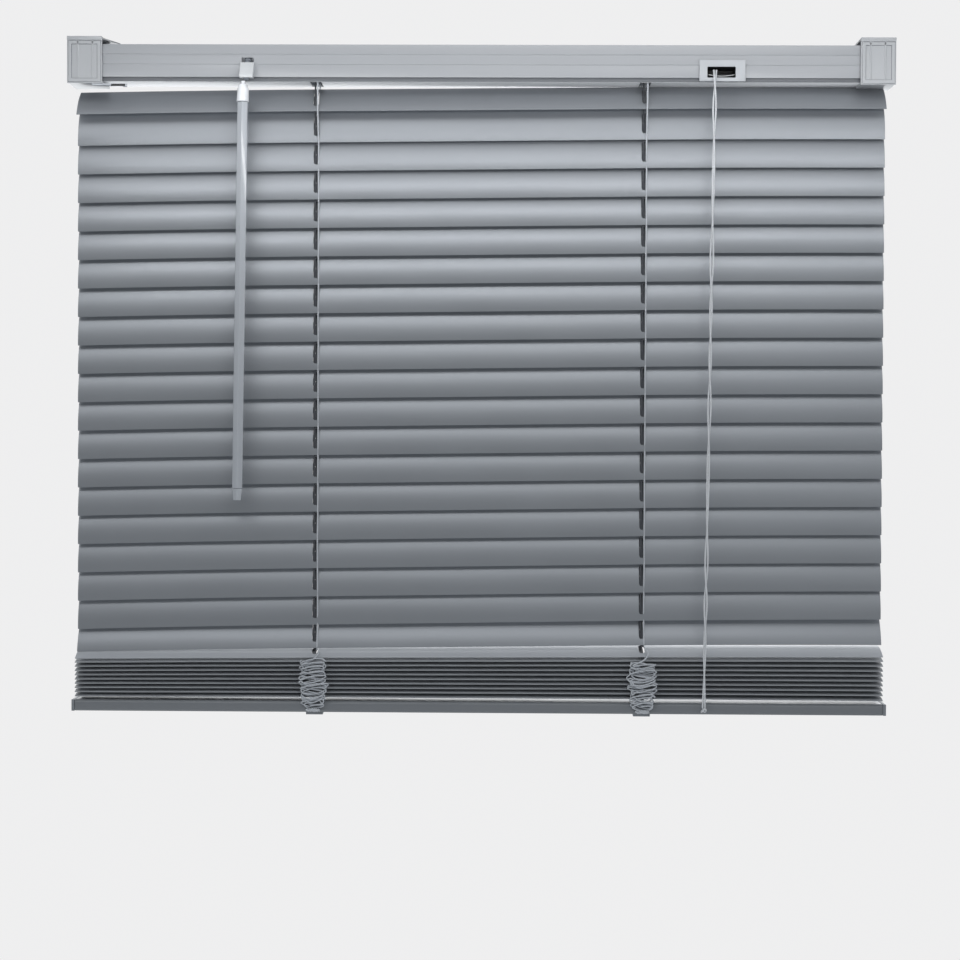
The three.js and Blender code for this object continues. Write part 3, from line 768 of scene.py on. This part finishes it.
# the collar's section, from its top: radius, and how far it lies under the connector's top
COLLAR_SECTION = ((0.0020, 0.0022), (0.0030, 0.0026), (0.0034, 0.0034), (0.0036, 0.0080))
COLLAR_SIDES = 24
low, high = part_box("wand_connector")
collar_x, collar_y = (low.x + high.x) / 2, (low.y + high.y) / 2
collar_mesh = bmesh.new()
rings = [[collar_mesh.verts.new((collar_x + radius * math.cos(2 * math.pi * index / COLLAR_SIDES),
                                 collar_y + radius * math.sin(2 * math.pi * index / COLLAR_SIDES), high.z - under))
          for index in range(COLLAR_SIDES)] for radius, under in COLLAR_SECTION]
collar_mesh.faces.new(rings[0])
for upper, lower in zip(rings, rings[1:]):
    join_rings(collar_mesh, upper, lower)
collar = finish_piece("connector_collar", collar_mesh, connector_nylon)
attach(collar, "wand_hanger")
wand_acrylic = skin_material("wand_acrylic", (0.42, 0.445, 0.48), 0.16, Cloud=0.04, Speckle=0.02, bump=0.02)
polish = wand_acrylic.node_tree.nodes["Principled BSDF"].inputs
polish["Coat Weight"].default_value = 0.6
polish["Coat Roughness"].default_value = 0.08
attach(refined("tilt_wand", wand_acrylic, edge=0.00035, segments=3), "wand")
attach(refined("wand_tip", wand_acrylic, edge=0.0005, segments=3), "wand")


# ---- Bottom rail ----------------------------------------------------------------------------------
# A closed section rolled from painted steel, with moulded end caps, and a plug under each ladder that
# holds the lift cord's knot.
foot_paint = sheet_paint("bottom_rail_paint", (0.165, 0.177, 0.192), 0.34, 0.06, 0.04)
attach(refined("bottom_rail", foot_paint, edge=0.0004), "bottom_bar")
cap_nylon = skin_material("cap_nylon", (0.20, 0.215, 0.235), 0.45, Cloud=0.06, Speckle=0.05)
for name in ("left", "right"):
    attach(refined(f"rail_cap_{name}", cap_nylon), "bottom_bar")
    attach(refined(f"rail_plug_{name}", cap_nylon), "bottom_bar")


# ---- Studio ---------------------------------------------------------------------------------------
# A plain pale floor well below the blind. A large soft light stands above the front, a narrow one
# close under the headrail, and weaker ones in front and behind; the sky is bright above, dark below.
FLOOR_Z, FLOOR_HALF, FLOOR_FRONT, FLOOR_BACK = -0.75, 1.5, -2.2, 0.2
floor_mesh = bmesh.new()
floor_mesh.faces.new([floor_mesh.verts.new((x, y, FLOOR_Z)) for x, y in (
    (-FLOOR_HALF, FLOOR_FRONT), (FLOOR_HALF, FLOOR_FRONT), (FLOOR_HALF, FLOOR_BACK), (-FLOOR_HALF, FLOOR_BACK))])
# seen from below, the floor is clear, so that the blind's underside can be looked at
floor_paint, floor_tree, floor_shader = new_material("studio_floor", (0.80, 0.81, 0.82), 0.9)
underside, clear = node(floor_tree, "ShaderNodeNewGeometry"), node(floor_tree, "ShaderNodeBsdfTransparent")
either = node(floor_tree, "ShaderNodeMixShader")
floor_tree.links.new(underside.outputs["Backfacing"], either.inputs["Fac"])
floor_tree.links.new(floor_shader.outputs[0], either.inputs[1])
floor_tree.links.new(clear.outputs[0], either.inputs[2])
floor_tree.links.new(either.outputs[0], floor_tree.nodes["Material Output"].inputs["Surface"])
floor = finish_piece("studio_floor", floor_mesh, floor_paint, smooth=False)
if floor.data.polygons[0].normal.z < 0:
    floor.data.flip_normals()

world = bpy.data.worlds.new("studio")
bpy.context.scene.world = world
world.use_nodes = True
sky = world.node_tree
for old in list(sky.nodes):
    sky.nodes.remove(old)
out = node(sky, "ShaderNodeOutputWorld")
seen, lighting = node(sky, "ShaderNodeBackground"), node(sky, "ShaderNodeBackground")
seen.inputs["Color"].default_value = (0.86, 0.86, 0.865, 1)
lighting.inputs["Strength"].default_value = 0.62
direction, height = node(sky, "ShaderNodeTexCoord"), node(sky, "ShaderNodeSeparateXYZ")
overhead = node(sky, "ShaderNodeMapRange", interpolation_type="SMOOTHSTEP")
overhead.inputs["From Min"].default_value = -0.55
overhead.inputs["From Max"].default_value = 0.85
sky.links.new(direction.outputs["Generated"], height.inputs[0])
sky.links.new(height.outputs["Z"], overhead.inputs["Value"])
sky.links.new(mixed_colour(sky, overhead.outputs["Result"], (0.06, 0.065, 0.07, 1), (0.95, 0.975, 1.0, 1)),
              lighting.inputs["Color"])
choose, ray = node(sky, "ShaderNodeMixShader"), node(sky, "ShaderNodeLightPath")
sky.links.new(ray.outputs["Is Camera Ray"], choose.inputs["Fac"])
sky.links.new(lighting.outputs[0], choose.inputs[1])
sky.links.new(seen.outputs[0], choose.inputs[2])
sky.links.new(choose.outputs[0], out.inputs["Surface"])


def soft_light(name, place, target, size, power, colour=(1, 1, 1)):
    """An area light, aimed from its place at a target, that the camera doesn't see."""
    data = bpy.data.lights.new(name, "AREA")
    data.shape = "RECTANGLE"
    data.size, data.size_y = size
    data.energy = power
    data.color = colour
    light = bpy.data.objects.new(name, data)
    light.location = place
    light.rotation_euler = (Vector(target) - Vector(place)).to_track_quat("-Z", "Y").to_euler()
    light.visible_camera = False
    bpy.context.scene.collection.objects.link(light)


soft_light("key", (-0.12, -0.88, 0.48), (0.0, 0.0, -0.32), (1.3, 0.34), 3.9)
soft_light("head_fill", (0.04, -0.15, -0.035), (0.04, 0.0, -0.050), (0.70, 0.02), 0.30)
soft_light("fill", (0.9, -1.9, 0.2), (0.0, 0.0, -0.25), (1.2, 1.0), 2, (0.97, 0.985, 1.0))
soft_light("window", (0.0, 0.75, -0.25), (0.0, 0.0, -0.02), (1.6, 0.8), 9, (0.96, 0.98, 1.0))
bpy.context.scene.view_settings.view_transform = "Standard"
bpy.context.scene.view_settings.look = "None"
